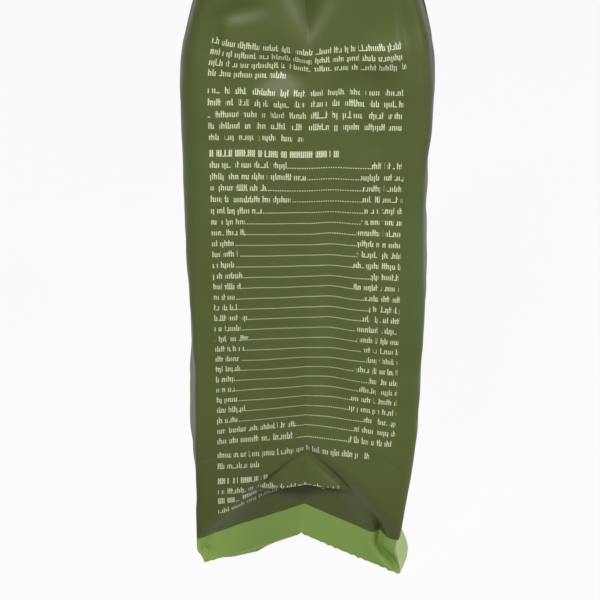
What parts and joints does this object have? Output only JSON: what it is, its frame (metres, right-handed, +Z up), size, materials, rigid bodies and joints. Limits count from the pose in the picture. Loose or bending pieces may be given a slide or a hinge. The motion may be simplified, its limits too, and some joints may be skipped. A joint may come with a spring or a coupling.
{
  "type": "side-gusset pet food bag",
  "caption": "Filled side-gusset film bag for dry pet food, standing on its splayed bottom seal, with a flat top seal and a back seam.",
  "frame": {"origin": "middle of the bag's bounding box in plan, on the surface the bag stands on", "axes": "+Z up along the height of the bag; +X out of one side gusset, across the wide face; the front wide face looks along -Y"},
  "size_m": [0.155, 0.0996, 0.33],
  "materials": {
    "laminate_film": "matte olive-green printed laminate film with a lighter green band along the bottom seal"
  },
  "bodies": {
    "root": {"bag": "laminate_film"}
  },
  "joints": []
}
